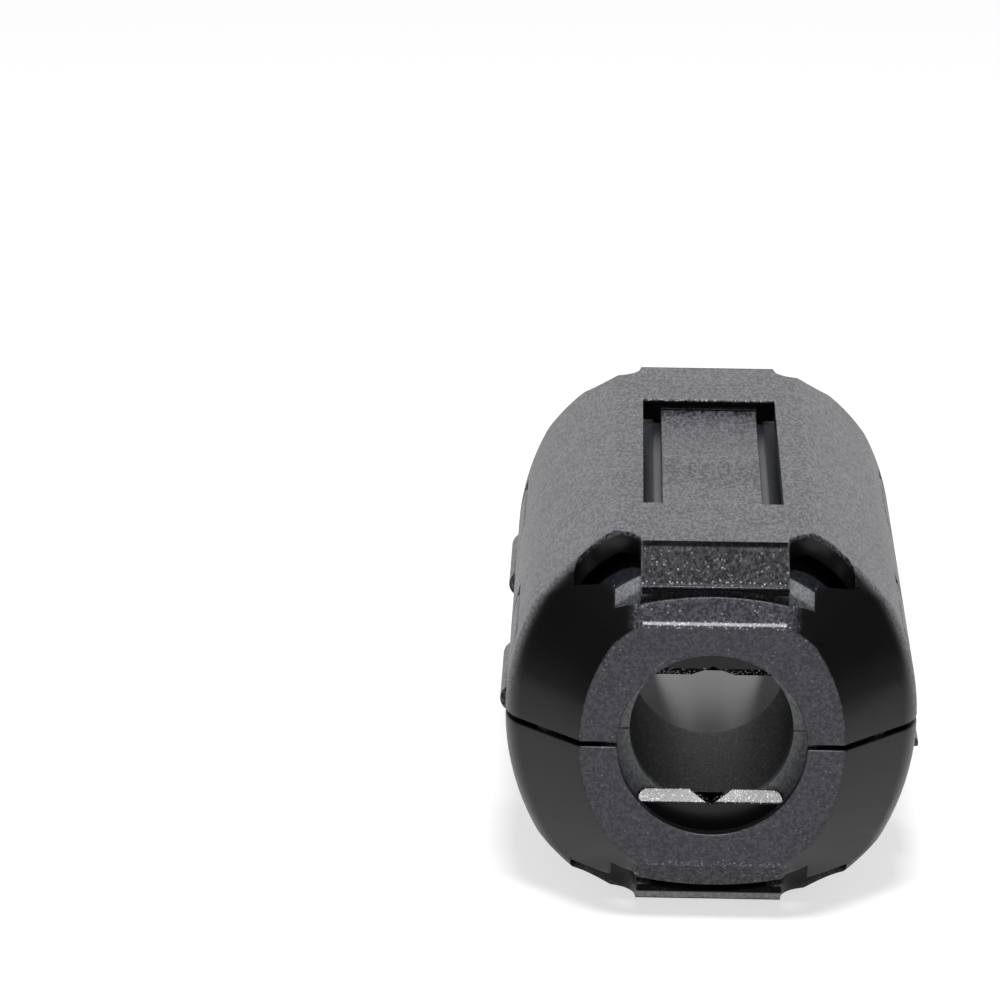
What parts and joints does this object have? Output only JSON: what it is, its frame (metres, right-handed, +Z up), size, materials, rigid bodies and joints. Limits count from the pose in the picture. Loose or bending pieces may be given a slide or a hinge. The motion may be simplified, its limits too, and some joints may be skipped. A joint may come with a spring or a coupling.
{
  "type": "clip-on ferrite bead",
  "caption": "Hinged black plastic case with sloping ends, clipped round a split ferrite core that a cable passes through, with notched grip tongues at both ends.",
  "frame": {"origin": "on the cable's axis, halfway along the case", "axes": "+Y along the cable, +Z up through the upper half's outer flat, hinge straps at -X and latches at +X"},
  "size_m": [0.0204, 0.036, 0.0182],
  "materials": {
    "nylon": "fine spark texture on the flats, satin elsewhere",
    "ferrite": "fired, with ground ends and meeting faces"
  },
  "bodies": {
    "base": {"lower_shell": "nylon", "lower_core": "ferrite", "front_hinge_strap": "nylon", "rear_hinge_strap": "nylon"},
    "lid": {"upper_shell": "nylon", "upper_core": "ferrite", "front_latch_loop": "nylon", "rear_latch_loop": "nylon"}
  },
  "joints": [
    {"name": "lid_hinge", "type": "hinge", "parent": "base", "child": "lid", "pos_m": [-0.01005, 0, 0], "axis": [0, -1, 0], "range_deg": [0, 180], "deforming": ["front_hinge_strap", "rear_hinge_strap", "front_latch_loop", "rear_latch_loop"]}
  ]
}
